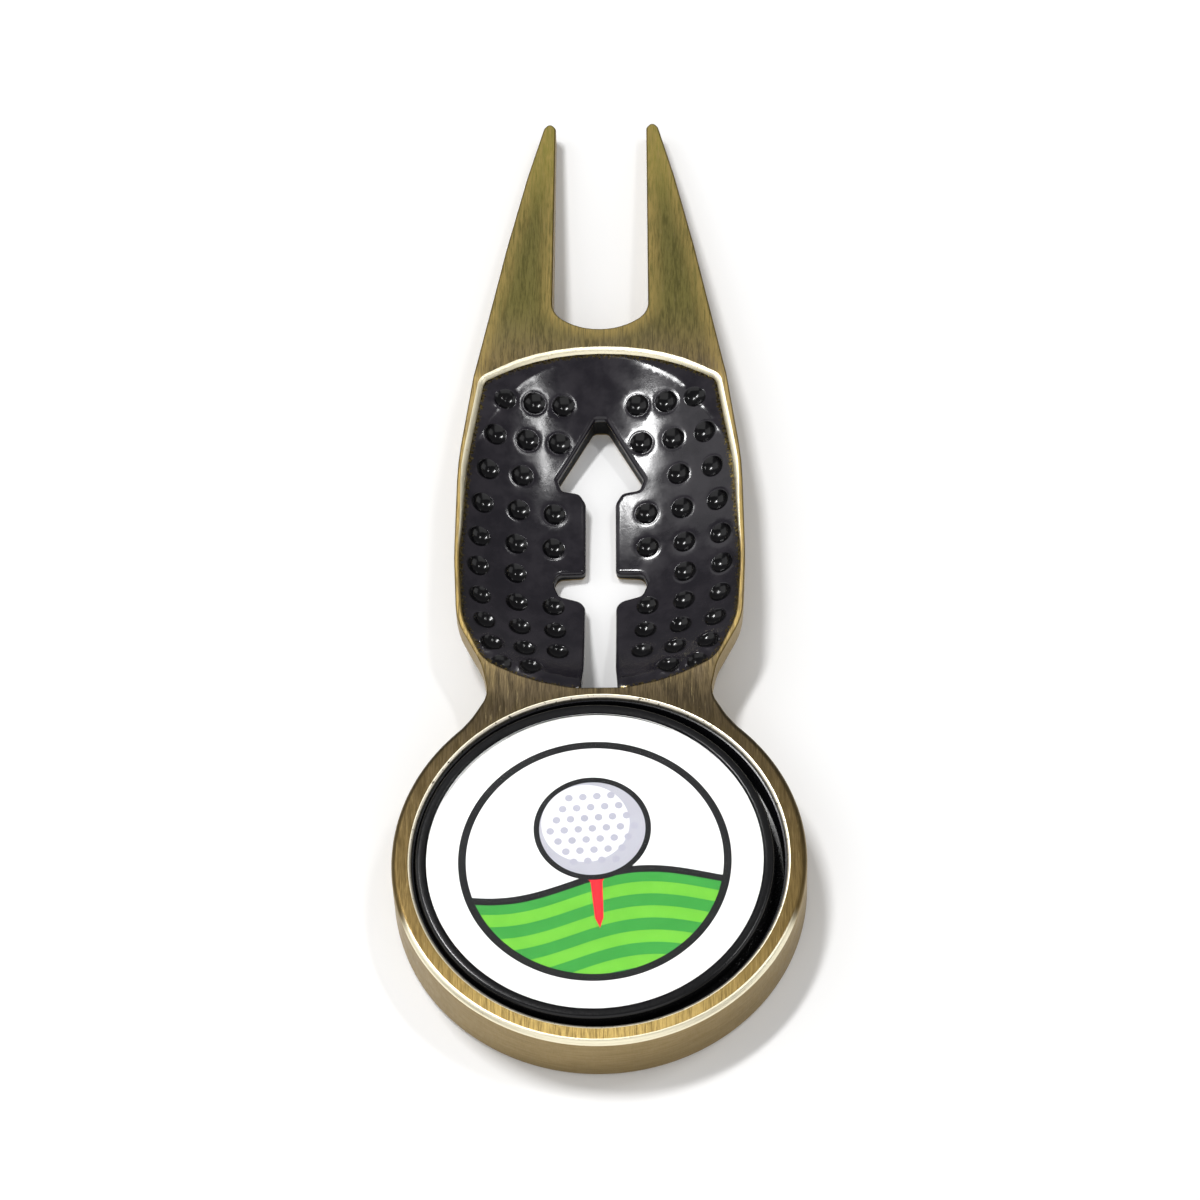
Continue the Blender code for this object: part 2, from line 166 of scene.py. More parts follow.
def rounded_path(corners, turn=CORNER_TURN):
    """Points along straight lines through the corners, each corner rounded by its own radius."""
    points = [Vector(corners[0][:2])]
    for before, here, after in zip(corners, corners[1:], corners[2:]):
        corner = Vector(here[:2])
        radius = here[2]
        back = (Vector(before[:2]) - corner).normalized()
        ahead = (Vector(after[:2]) - corner).normalized()
        half_angle = back.angle(ahead) / 2
        centre = corner + (back + ahead).normalized() * radius / math.sin(half_angle)
        start = corner + back * radius / math.tan(half_angle) - centre
        end = corner + ahead * radius / math.tan(half_angle) - centre
        sweep = math.atan2(start.x * end.y - start.y * end.x, start.dot(end))
        steps = max(2, math.ceil(abs(sweep) / math.radians(turn)))
        for step in range(steps + 1):
            angle = sweep * step / steps
            turned = Vector((start.x * math.cos(angle) - start.y * math.sin(angle),
                             start.x * math.sin(angle) + start.y * math.cos(angle)))
            points.append(centre + turned)
    points.append(Vector(corners[-1][:2]))
    return points


def divided(points, spacing):
    """The same path with its long segments cut into equal parts."""
    out = []
    for a, b in zip(points, points[1:]):
        parts = max(1, math.ceil((b - a).length / spacing))
        out.extend(a.lerp(b, i / parts) for i in range(parts))
    return out + [points[-1]]


def as_array(points):
    return np.array([(p.x, p.y) for p in points])


def mirrored(path):
    """The path's mirror image, run backwards."""
    return path[::-1] * np.array((-1.0, 1.0))


def body_loop():
    half = rounded_path(BODY_HALF)[:-1]
    start = math.asin(RING_V_START / RING_RADIUS)
    for step in range(RING_STEPS + 1):
        angle = start - (start + math.pi / 2) * step / RING_STEPS
        half.append(Vector((RING_RADIUS * math.cos(angle), RING_RADIUS * math.sin(angle))))
    half[-1].x = 0.0
    half = as_array(divided(half, BODY_SPACING))
    return np.vstack((half, mirrored(half)[1:-1]))


def dish_path():
    """Clockwise from the slot's left corner, over the prong end, to the slot's right corner."""
    half = as_array(divided(rounded_path(DISH_HALF), DISH_SPACING))
    return np.vstack((mirrored(half), half[1:]))


def slot_path():
    """From the slot's right corner up to the arrow's tip and down to the left corner."""
    half = as_array(divided(rounded_path(SLOT_HALF, SLOT_CORNER_TURN), SLOT_SPACING))
    return np.vstack((half[::-1], mirrored(half)[::-1][1:]))


def slot_end():
    """The slot's straight end, from its right corner to its left one, without the corners."""
    count = 6
    x = np.linspace(SLOT_HALF[-1][0], -SLOT_HALF[-1][0], count + 1)[1:-1]
    return np.column_stack((x, np.full(len(x), SLOT_HALF[-1][1])))


def inward_normals(loop):
    """Mitred normals that point to the right of the path, which is closed."""
    before = loop - np.roll(loop, 1, axis=0)
    after = np.roll(loop, -1, axis=0) - loop
    before /= np.linalg.norm(before, axis=1)[:, None]
    after /= np.linalg.norm(after, axis=1)[:, None]
    along = before + after
    length = np.linalg.norm(along, axis=1)
    mitre = 1.0 / np.maximum(0.5, length / 2)
    along /= length[:, None]
    return np.column_stack((along[:, 1], -along[:, 0])) * mitre[:, None]


def distance_to(loop, points, closed=True):
    """Least distance of each point to the loop's segments."""
    a = loop if closed else loop[:-1]
    b = np.roll(loop, -1, axis=0) if closed else loop[1:]
    best = np.full(len(points), 1e9)
    for p, q in zip(a, b):
        d = q - p
        t = np.clip(((points - p) @ d) / max(d @ d, 1e-12), 0.0, 1.0)
        best = np.minimum(best, np.linalg.norm(points - p - t[:, None] * d, axis=1))
    return best


def turns_left(a, b, c):
    return (b[0] - a[0]) * (c[1] - a[1]) - (b[1] - a[1]) * (c[0] - a[0]) > 0.0


def inside(loop, points):
    """Even-odd test of each point against the closed loop."""
    x, y = points[:, 0], points[:, 1]
    result = np.zeros(len(points), bool)
    for (x0, y0), (x1, y1) in zip(loop, np.roll(loop, -1, axis=0)):
        if y0 == y1:
            continue
        crosses = (y0 > y) != (y1 > y)
        result ^= crosses & (x < (x1 - x0) * (y - y0) / (y1 - y0) + x0)
    return result


# ------------------------------------------------------------------ heights

def smooth_step(value, low, high):
    t = np.clip((np.asarray(value, float) - low) / (high - low), 0.0, 1.0)
    return t * t * (3.0 - 2.0 * t)


def back_round(v):
    low, full, end, out = GRIP_ROUND_V
    grip = smooth_step(v, low, full) * (1.0 - smooth_step(v, end, out))
    tip = smooth_step(v, *TIP_ROUND_V)
    return EDGE_ROUND + (GRIP_ROUND - EDGE_ROUND) * grip + (TIP_ROUND - EDGE_ROUND) * tip


def top_round(v):
    grip = smooth_step(v, *TOP_ROUND_GRIP_V)
    prongs = smooth_step(v, *TOP_ROUND_PRONGS_V)
    return TOP_ROUND_RING + (TOP_ROUND_GRIP - TOP_ROUND_RING) * grip + (
        TOP_ROUND_PRONGS - TOP_ROUND_GRIP) * prongs


def rim_round(v):
    end = 1.0 - smooth_step(v, *RIM_END_V)
    side = smooth_step(v, *RIM_SIDE_V)
    front = smooth_step(v, *RIM_ARC_V)
    return RIM_ROUND_LOW + (RIM_ROUND_END - RIM_ROUND_LOW) * end + (
        RIM_ROUND_SIDE - RIM_ROUND_LOW) * side + (RIM_ROUND_ARC - RIM_ROUND_SIDE) * front


def face_z(v):
    return np.interp(v, (SLOPE_START_V, SHOULDER_V, TIP_V), (FACE_Z, SHOULDER_Z, TIP_Z))


def enamel_z(x, v):
    radius = np.where(v > BOWL_V, BOWL_RADIUS_PRONGS, BOWL_RADIUS_RING)
    bowl = BOWL_Z + (v - BOWL_V) ** 2 / (2 * radius) + x * x / (2 * BOWL_CROSS_RADIUS)
    flat = face_z(v) - BOWL_SINK
    blend = np.clip(0.5 + 0.5 * (flat - bowl) / BOWL_BLEND, 0.0, 1.0)
    return flat + (bowl - flat) * blend - BOWL_BLEND * blend * (1.0 - blend)


def dimple_places():
    places = []
    for row, v in enumerate(DIMPLE_ROWS):
        offset = v - DIMPLE_WIDEST_V
        spread = DIMPLE_SPREAD_PRONGS if offset > 0.0 else DIMPLE_SPREAD_RING
        for column, x in enumerate(DIMPLE_COLUMNS):
            if column == 0 and row in ROWS_WITHOUT_INNER:
                continue
            width = x * (1.0 - spread * offset * offset)
            places.extend(((width, v), (-width, v)))
    return places


# ------------------------------------------------------------------ skins

class Skin:
    """Collects vertices in millimetres over (x, v), faces and vertex values, then makes an object."""

    def __init__(self):
        self.points = []
        self.values = []
        self.faces = []
        self.slots = []
        self.slot = 0

    def ring(self, plan, z, value=0.0):
        z = np.broadcast_to(z, len(plan))
        value = np.broadcast_to(value, len(plan))
        first = len(self.points)
        self.points.extend((p[0], p[1], h) for p, h in zip(plan, z))
        self.values.extend(float(a) for a in value)
        return list(range(first, len(self.points)))

    def add(self, *face):
        self.faces.append(face)
        self.slots.append(self.slot)

    def bridge(self, lower, upper, closed=True):
        """Quads between two rings whose outside is to the left of the path, lower below upper."""
        count = len(lower)
        for i in range(count if closed else count - 1):
            j = (i + 1) % count
            self.add(lower[j], lower[i], upper[i], upper[j])

    def fill(self, rings, height, spacing, up=True, extra=None, keep_off=None):
        """Triangles between the first ring and the others, which are holes, with points inside."""
        plans = [np.array([self.points[i][:2] for i in ring], np.float32).astype(float)
                 for ring in rings]
        outer, holes = plans[0], plans[1:]
        low, high = outer.min(0), outer.max(0)
        xs = np.arange(low[0] + spacing / 2, high[0], spacing)
        ys = np.arange(low[1] + spacing / 2, high[1], spacing)
        grid = np.array([(x + (spacing / 2 if n % 2 else 0.0), y)
                         for n, y in enumerate(ys) for x in xs])
        grid = grid[inside(outer, grid)]
        for hole in holes:
            grid = grid[~inside(hole, grid)]
        for plan in plans:
            grid = grid[distance_to(plan, grid) > spacing * 0.6]
        if keep_off is not None:
            grid = grid[keep_off(grid)]
        if extra is not None:
            near = inside(outer, extra)
            for hole in holes:
                near &= ~inside(hole, extra)
            extra = extra[near]
            for plan in plans:
                extra = extra[distance_to(plan, extra) > 0.02]
            grid = np.vstack((grid, extra))
        coords, edges, ids = [], [], []
        for ring, plan in zip(rings, plans):
            first = len(coords)
            coords.extend(Vector(p) for p in plan)
            ids.extend(ring)
            edges.extend((first + i, first + (i + 1) % len(plan)) for i in range(len(plan)))
        added = self.ring(grid, height(grid))
        coords.extend(Vector(p) for p in grid)
        ids.extend(added)
        verts, _, faces, origin, _, _ = delaunay_2d_cdt(coords, edges, [], 0, 1e-7)
        index = [ids[o[0]] for o in origin]
        flat = np.array([(p.x, p.y) for p in verts])
        centres = np.array([flat[list(f)].mean(0) for f in faces])
        keep = inside(outer, centres)
        for hole in holes:
            keep &= ~inside(hole, centres)
        for face, kept in zip(faces, keep):
            if not kept:
                continue
            left = turns_left(*(flat[i] for i in face))
            face = [index[i] for i in face]
            self.add(*(face if left == up else face[::-1]))

    def make(self, name, materials, body, slot_name, node):
        mesh = bpy.data.meshes.new(name)
        mesh.from_pydata([(x * MM, (v + RING_Y) * MM, z * MM) for x, v, z in self.points],
                         [], self.faces)
        for material in materials:
            mesh.materials.append(material)
        mesh.polygons.foreach_set("material_index", self.slots)
        attribute = mesh.attributes.new("edge", 'FLOAT', 'POINT')
        attribute.data.foreach_set("value", self.values)
        mesh.validate()
        return place(name, mesh, body, slot_name, node)


def place(name, mesh, body, slot_name, node):
    """An object of the mesh that rides a body and replaces a CAD node; slot_name is not used."""
    mesh.shade_smooth()
    mesh.set_sharp_from_angle(angle=math.radians(SHARP_ANGLE))
    obj = bpy.data.objects.new(name, mesh)
    bpy.context.scene.collection.objects.link(obj)
    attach(obj, body)
    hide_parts(node)
    return obj


# ------------------------------------------------------------------ tool body

def build_body(brass, paint):
    skin = Skin()
    outline = body_loop()
    normals = inward_normals(outline)
    v = outline[:, 1]
    back = back_round(v)
    top = top_round(v)
    rings = []
    for angle in np.radians(np.linspace(0.0, 90.0, 10)):
        plan = outline + normals * (back * (1.0 - math.sin(angle)))[:, None]
        rings.append(skin.ring(plan, back * (1.0 - math.cos(angle))))
    wall_top = face_z(v) - top
    for share in (0.08, 0.5, 0.92):
        rings.append(skin.ring(outline, back + (wall_top - back) * share))
    # polished top edge at the ring's free end, painted with a highlight
    polish_and_highlight = 1.0 - smooth_step(v, *RING_POLISH_HIGHLIGHT_V)
    for step, angle in enumerate(np.radians(np.linspace(0.0, 90.0, 6))):
        plan = outline + normals * (top * (1.0 - math.cos(angle)))[:, None]
        shine = polish_and_highlight * (0.0 if step in (0, 5) else 1.0)
        rings.append(skin.ring(plan, face_z(plan[:, 1]) - top * (1.0 - math.sin(angle)), shine))
    plan = outline + normals * (top + HOLD)[:, None]
    rings.append(skin.ring(plan, face_z(plan[:, 1])))
    for lower, upper in zip(rings, rings[1:]):
        skin.bridge(lower, upper)
    back_ring, face_ring = rings[0], rings[-1]

    # rim of the thumb rest, from the face down to the enamel's seat
    dish = dish_path()
    end = slot_end()
    rim = np.vstack((dish, end))
    normals = inward_normals(rim)
    v = rim[:, 1]
    rim_radius = rim_round(v)
    plan = rim - normals * (rim_radius + HOLD)[:, None]
    rings = [skin.ring(plan, face_z(plan[:, 1]))]
    # polished rim toward the prongs, painted with a highlight where it faces the light
    polish_and_highlight = smooth_step(v, *RIM_POLISH_HIGHLIGHT_V)
    for step, angle in enumerate(np.radians(np.linspace(0.0, 90.0, 8))):
        plan = rim - normals * (rim_radius * (1.0 - math.sin(angle)))[:, None]
        z = face_z(plan[:, 1]) - rim_radius * (1.0 - math.cos(angle))
        rings.append(skin.ring(plan, z, polish_and_highlight * (0.0 if step == 0 else 1.0)))
    for upper, lower in zip(rings, rings[1:]):
        skin.bridge(upper, lower)
    rim_ring, wall_ring = rings[0], rings[-1]
    count = len(dish)
    floor = enamel_z(dish[:, 0], dish[:, 1]) - ENAMEL_THICKNESS
    floor_ring = skin.ring(dish, floor)
    skin.bridge(wall_ring[:count], floor_ring, closed=False)

    # the slot: its walls take the black paint with painted shade, its back edge is bare
    slot = slot_path()
    slot_floor = enamel_z(slot[:, 0], slot[:, 1]) - ENAMEL_THICKNESS
    slot_top = skin.ring(slot[1:-1], slot_floor[1:-1])
    slot_top = [floor_ring[-1]] + slot_top + [floor_ring[0]]
    closed_slot = np.vstack((slot, end[::-1]))[::-1]
    normals = inward_normals(closed_slot)
    height = enamel_z(closed_slot[:, 0], closed_slot[:, 1]) - ENAMEL_THICKNESS
    opened = closed_slot - normals * (SLOT_DRAFT * height)[:, None]
    low_rings = [skin.ring(opened, SLOT_BACK_ROUND + SLOT_BACK_STRIP)]
    for angle in np.radians(np.linspace(0.0, 90.0, 6)):
        plan = opened - normals * SLOT_BACK_ROUND * (1.0 - math.cos(angle))
        low_rings.append(skin.ring(plan, SLOT_BACK_ROUND * (1.0 - math.sin(angle))))
    low = low_rings[0][::-1]
    slot_low, end_low = low[:len(slot)], low[len(slot):]
    skin.slot = 1
    skin.bridge(slot_top[::-1], slot_low[::-1], closed=False)
    end_mid = skin.ring(end, slot_floor[0])
    end_walls = [floor_ring[-1]] + end_mid + [floor_ring[0]]
    end_low = [slot_low[0]] + end_low[::-1] + [slot_low[-1]]
    skin.bridge(end_walls, end_low, closed=False)
    skin.slot = 0
    end_top = [wall_ring[count - 1]] + wall_ring[count:] + [wall_ring[0]]
    skin.bridge(end_top, end_walls, closed=False)
    for upper, lower in zip(low_rings, low_rings[1:]):
        skin.bridge(upper, lower)
    slot_back = low_rings[-1]

    # pocket and magnet seat
    angles = np.radians(np.linspace(0.0, -360.0, POCKET_STEPS + 1))[:-1]
    circle = np.column_stack((np.cos(angles), np.sin(angles)))
    radius = POCKET_RADIUS + POCKET_ROUND
    pocket = [skin.ring(circle * (radius + HOLD), FACE_Z)]
    # the pocket's rounded edge carries the pale painted highlight
    for step, angle in enumerate(np.radians(np.linspace(0.0, 90.0, 7))):
        reach = POCKET_RADIUS + POCKET_ROUND * (1.0 - math.sin(angle))
        pocket.append(skin.ring(circle * reach, FACE_Z - POCKET_ROUND * (1.0 - math.cos(angle)),
                                0.0 if step == 0 else POCKET_POLISH_HIGHLIGHT))
    for reach, z in ((POCKET_RADIUS, POCKET_FLOOR_Z), (SEAT_RADIUS, POCKET_FLOOR_Z),
                     (SEAT_RADIUS, SEAT_Z)):
        pocket.append(skin.ring(circle * reach, z))
    for upper, lower in zip(pocket, pocket[1:]):
        skin.bridge(upper, lower)

    skin.fill([pocket[-1]], lambda p: np.full(len(p), SEAT_Z), 2.0)
    skin.fill([floor_ring + slot_top[1:-1]],
              lambda p: enamel_z(p[:, 0], p[:, 1]) - ENAMEL_THICKNESS, 0.9)
    skin.fill([face_ring, rim_ring, pocket[0]], lambda p: face_z(p[:, 1]), 0.6)
    skin.fill([back_ring, slot_back], lambda p: np.zeros(len(p)), 2.0, up=False)
    return skin.make("tool_body_finished", [brass, paint], "tool", "antique_brass", "tool_body")


# ------------------------------------------------------------------ enamel of the thumb rest

def enamel_normals(p):
    step = 0.05
    slope_x = (enamel_z(p[:, 0] + step, p[:, 1]) - enamel_z(p[:, 0] - step, p[:, 1])) / (2 * step)
    slope_v = (enamel_z(p[:, 0], p[:, 1] + step) - enamel_z(p[:, 0], p[:, 1] - step)) / (2 * step)
    normals = np.column_stack((-slope_x, -slope_v, np.ones(len(p))))
    return normals / np.linalg.norm(normals, axis=1)[:, None]


def dimple_profile(share):
    """Depth of a dimple at a share of its radius: a bowl with a soft, slightly raised lip."""
    bowl = DIMPLE_DEPTH * (1.0 - share ** 2)
    lip = smooth_step(share, *LIP_SHARES)
    return np.where(share < 1.0, np.maximum(bowl, 0.0), 0.0) - LIP_HEIGHT * lip * (share > 0.9)


def build_enamel(enamel):
    skin = Skin()
    dish = dish_path()
    slot = slot_path()
    loop = np.vstack((dish, slot[1:-1]))
    on_slot = np.zeros(len(loop), bool)
    on_slot[len(dish):] = True
    on_slot[0] = on_slot[len(dish) - 1] = True
    # the offset rings need room at the two corners where the slot meets the rim
    corners = loop[[0, len(dish) - 1]]
    apart = np.min([np.linalg.norm(loop - corner, axis=1) for corner in corners], axis=0)
    spread_out = (apart == 0.0) | (apart > CORNER_ROOM)
    loop, on_slot = loop[spread_out], on_slot[spread_out]
    normals = inward_normals(loop)
    tuck = np.where(on_slot, 0.0, rim_round(loop[:, 1]) * ENAMEL_TUCK)
    edge = loop - normals * tuck[:, None]

    places = np.array(dimple_places())

    def surface(p):
        z = enamel_z(p[:, 0], p[:, 1])
        near = distance_to(slot, p, closed=False)
        drop = np.clip((ENAMEL_EDGE_ROUND - near) / ENAMEL_EDGE_ROUND, 0.0, 1.0)
        return z - ENAMEL_EDGE_ROUND * (1.0 - np.sqrt(1.0 - drop ** 2)) * ENAMEL_EDGE_DROP

    def dimpled(p):
        """Points of the surface, sunk along its normal by the dimples."""
        normal = enamel_normals(p)
        slope = np.column_stack((-normal[:, 0] / normal[:, 2], -normal[:, 1] / normal[:, 2]))
        depth = np.zeros(len(p))
        for place_x, place_v in places:
            d = p - (place_x, place_v)
            near = np.abs(d).max(1) < DIMPLE_REACH
            run = (slope[near] * d[near]).sum(1)
            share = np.sqrt((d[near] ** 2).sum(1) + run ** 2) / DIMPLE_RADIUS
            depth[near] += dimple_profile(share)
        return np.column_stack((p, surface(p))) - normal * depth[:, None]

    def underside(p):
        return enamel_z(p[:, 0], p[:, 1]) - ENAMEL_THICKNESS + ENAMEL_LIFT

    rings = [skin.ring(edge, underside(loop)), skin.ring(edge, surface(loop))]
    for reach in (0.03, 0.08, 0.15, 0.24, 0.36):
        plan = loop + normals * reach
        rings.append(skin.ring(plan, surface(plan)))
    for lower, upper in zip(rings, rings[1:]):
        skin.bridge(lower, upper)

    turns = np.radians(np.arange(0.0, 360.0, 15.0))
    extra = []
    for place_x, place_v in places:
        extra.append((place_x, place_v))
        normal = enamel_normals(np.array([(place_x, place_v)]))[0]
        squeeze = math.hypot(normal[0], normal[2]), math.hypot(normal[1], normal[2])
        for share in (0.2, 0.4, 0.58, 0.74, 0.87, 0.95, 1.0, 1.06, 1.15, 1.28):
            reach = DIMPLE_RADIUS * share
            extra.extend((place_x + reach * normal[2] / squeeze[0] * math.cos(t),
                          place_v + reach * normal[2] / squeeze[1] * math.sin(t)) for t in turns)

    def away_from_dimples(grid):
        keep = np.ones(len(grid), bool)
        for place_x, place_v in places:
            keep &= np.linalg.norm(grid - (place_x, place_v), axis=1) > DIMPLE_RADIUS * DIMPLE_ROOM
        return keep

    # the rings keep their places; the dimples move only the points inside the last one
    first = len(skin.points)
    skin.fill([rings[-1]], surface, 0.32, extra=np.array(extra), keep_off=away_from_dimples)
    moved = dimpled(np.array([p[:2] for p in skin.points[first:]]))
    skin.points[first:] = [tuple(p) for p in moved]
    skin.fill([rings[0]], underside, 0.9, up=False)
    plan = np.array([p[:2] for p in skin.points])
    skin.values = list(distance_to(dish, plan, closed=False))
    piece = skin.make("thumb_enamel_finished", [enamel], "tool", "black_enamel", "thumb_enamel")
    plan = np.array([(p.co.x / MM, p.co.y / MM - RING_Y) for p in piece.data.vertices])
    from_centre = np.min([np.linalg.norm(plan - place, axis=1) for place in places], axis=0)
    # painted shade in the dimples, which the enamel material darkens and makes less glossy
    pit_shade = piece.data.attributes.new("pit_shade", 'FLOAT', 'POINT')
    pit_shade.data.foreach_set("value", 1.0 - smooth_step(from_centre / DIMPLE_RADIUS, *PIT_SHADE_SHARES))
    return piece


# ------------------------------------------------------------------ turned pieces

def turned(name, profile, material, body, slot_name, node, shift=0.0):
    """A closed profile of (radius, z), turned about the ring's centre; radius 0 gives one point."""
    bm = bmesh.new()
    columns = []
    for step in range(TURNED_STEPS):
        angle = 2 * math.pi * step / TURNED_STEPS
        columns.append([
            None if radius == 0.0 else bm.verts.new((
                (radius * math.cos(angle) + shift) * MM,
                (radius * math.sin(angle) + RING_Y) * MM, z * MM))
            for radius, z in profile])
    poles = {i: bm.verts.new((shift * MM, RING_Y * MM, z * MM))
             for i, (radius, z) in enumerate(profile) if radius == 0.0}
    whole = not poles
    for step in range(TURNED_STEPS):
        here, there = columns[step], columns[(step + 1) % TURNED_STEPS]
        for i in range(len(profile) if whole else len(profile) - 1):
            j = (i + 1) % len(profile)
            corners = [here[i] or poles[i], there[i] or poles[i],
                       there[j] or poles[j], here[j] or poles[j]]
            unique = list(dict.fromkeys(corners))
            if len(unique) > 2:
                bm.faces.new(unique)
    bmesh.ops.recalc_face_normals(bm, faces=bm.faces)
    mesh = bpy.data.meshes.new(name)
    bm.to_mesh(mesh)
    bm.free()
    mesh.materials.append(material)
    return place(name, mesh, body, slot_name, node)


def arc(centre, radius, start, end, steps=5):
    """Profile points on an arc in the (radius, z) plane, angles in degrees from the outward axis."""
    return [(centre[0] + radius * math.cos(math.radians(a)),
             centre[1] + radius * math.sin(math.radians(a)))
            for a in np.linspace(start, end, steps + 1)]


# ------------------------------------------------------------------ materials

class Nodes:
    """Short calls that add nodes to one material's tree and return their output sockets."""

    def __init__(self, tree):
        self.tree = tree
        coord = tree.nodes.new("ShaderNodeTexCoord")
        scale = tree.nodes.new("ShaderNodeVectorMath")
        scale.operation = 'SCALE'
        tree.links.new(coord.outputs["Object"], scale.inputs[0])
        scale.inputs["Scale"].default_value = 1.0 / MM
        self.mm = scale.outputs[0]

    def link(self, socket, value):
        if isinstance(value, bpy.types.NodeSocket):
            self.tree.links.new(value, socket)
        else:
            socket.default_value = value

    def noise(self, scale, detail, rough, shift=0.0):
        mapping = self.tree.nodes.new("ShaderNodeMapping")
        mapping.inputs["Scale"].default_value = scale
        mapping.inputs["Location"].default_value = (shift, shift * 0.7, shift * 1.3)
        self.tree.links.new(self.mm, mapping.inputs["Vector"])
        noise = self.tree.nodes.new("ShaderNodeTexNoise")
        noise.inputs["Scale"].default_value = 1.0
        noise.inputs["Detail"].default_value = detail
        noise.inputs["Roughness"].default_value = rough
        self.tree.links.new(mapping.outputs[0], noise.inputs["Vector"])
        return noise.outputs["Fac"]

    def math(self, operation, a, b):
        node = self.tree.nodes.new("ShaderNodeMath")
        node.operation = operation
        self.link(node.inputs[0], a)
        self.link(node.inputs[1], b)
        return node.outputs[0]

    def range(self, value, low, high, to_low=0.0, to_high=1.0):
        node = self.tree.nodes.new("ShaderNodeMapRange")
        node.interpolation_type = 'SMOOTHSTEP'
        self.link(node.inputs["Value"], value)
        node.inputs["From Min"].default_value = low
        node.inputs["From Max"].default_value = high
        node.inputs["To Min"].default_value = to_low
        node.inputs["To Max"].default_value = to_high
        return node.outputs["Result"]

    def mix(self, share, a, b):
        node = self.tree.nodes.new("ShaderNodeMix")
        node.data_type = 'RGBA'
        self.link(node.inputs[0], share)
        self.link(node.inputs[6], a)
        self.link(node.inputs[7], b)
        return node.outputs[2]

    def attribute(self, name):
        node = self.tree.nodes.new("ShaderNodeAttribute")
        node.attribute_name = name
        return node.outputs["Fac"]

    def axis(self, vector, name):
        node = self.tree.nodes.new("ShaderNodeSeparateXYZ")
        self.tree.links.new(vector, node.inputs[0])
        return node.outputs[name]

    def normal(self):
        return self.tree.nodes.new("ShaderNodeNewGeometry").outputs["Normal"]

    def bump(self, height, strength, distance):
        node = self.tree.nodes.new("ShaderNodeBump")
        node.inputs["Strength"].default_value = strength
        node.inputs["Distance"].default_value = distance
        self.link(node.inputs["Height"], height)
        return node.outputs[0]


def new_material(name):
    material = bpy.data.materials.new(name)
    material.use_nodes = True
    tree = material.node_tree
    return material, Nodes(tree), tree.nodes["Principled BSDF"]


def rgb(red, green, blue):
    return (red, green, blue, 1.0)


